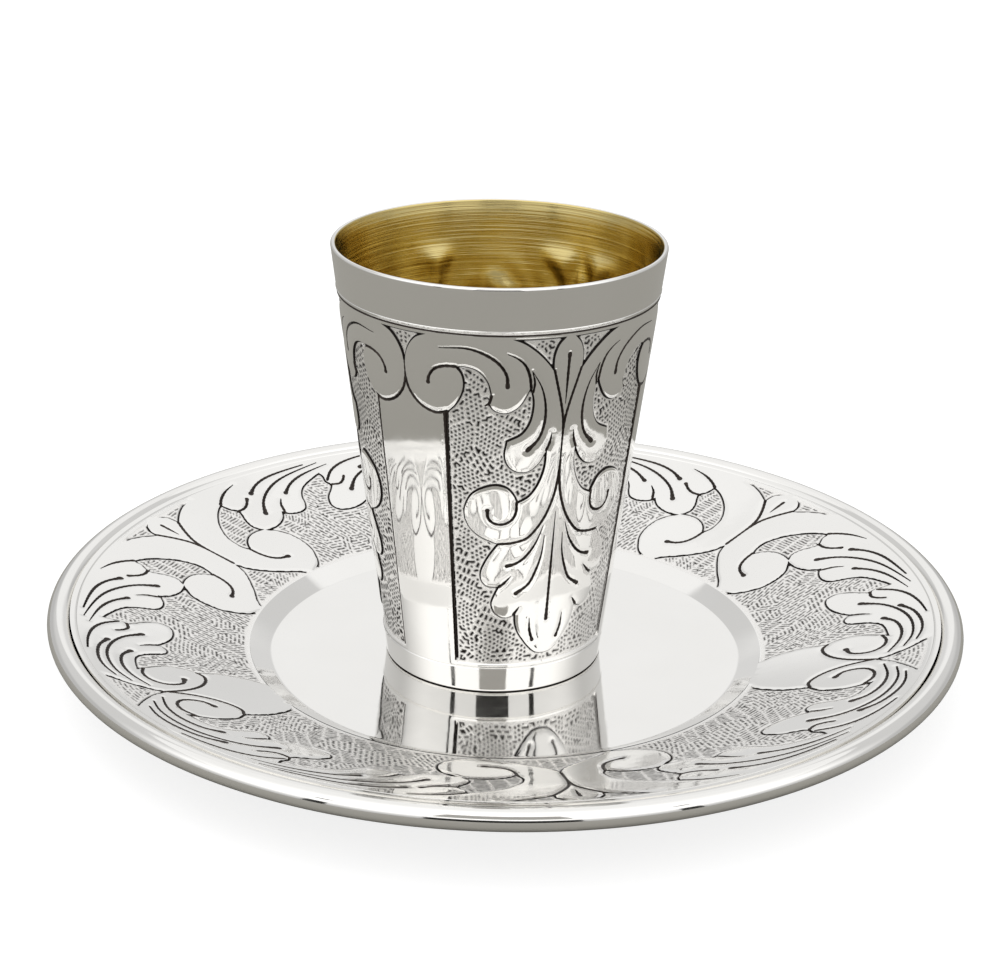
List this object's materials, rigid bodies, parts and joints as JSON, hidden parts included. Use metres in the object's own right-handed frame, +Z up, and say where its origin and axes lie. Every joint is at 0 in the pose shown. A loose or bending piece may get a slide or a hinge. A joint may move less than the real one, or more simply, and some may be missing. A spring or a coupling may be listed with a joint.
{
  "type": "kiddush cup",
  "caption": "Tapered silver kiddush cup chased with scrolls and leaves, gilt inside, standing on its matching chased saucer.",
  "frame": {"origin": "centre of the saucer's flat underside, on the table", "axes": "+Z up, -Y towards the side that the picture shows"},
  "size_m": [0.1712, 0.1713, 0.0811],
  "materials": {
    "silver": "polished old silver, matted dark in the sunk grounds and chased lines; the cup's inside is gilt"
  },
  "bodies": {
    "root": {"cup": "silver", "saucer": "silver"}
  },
  "joints": []
}
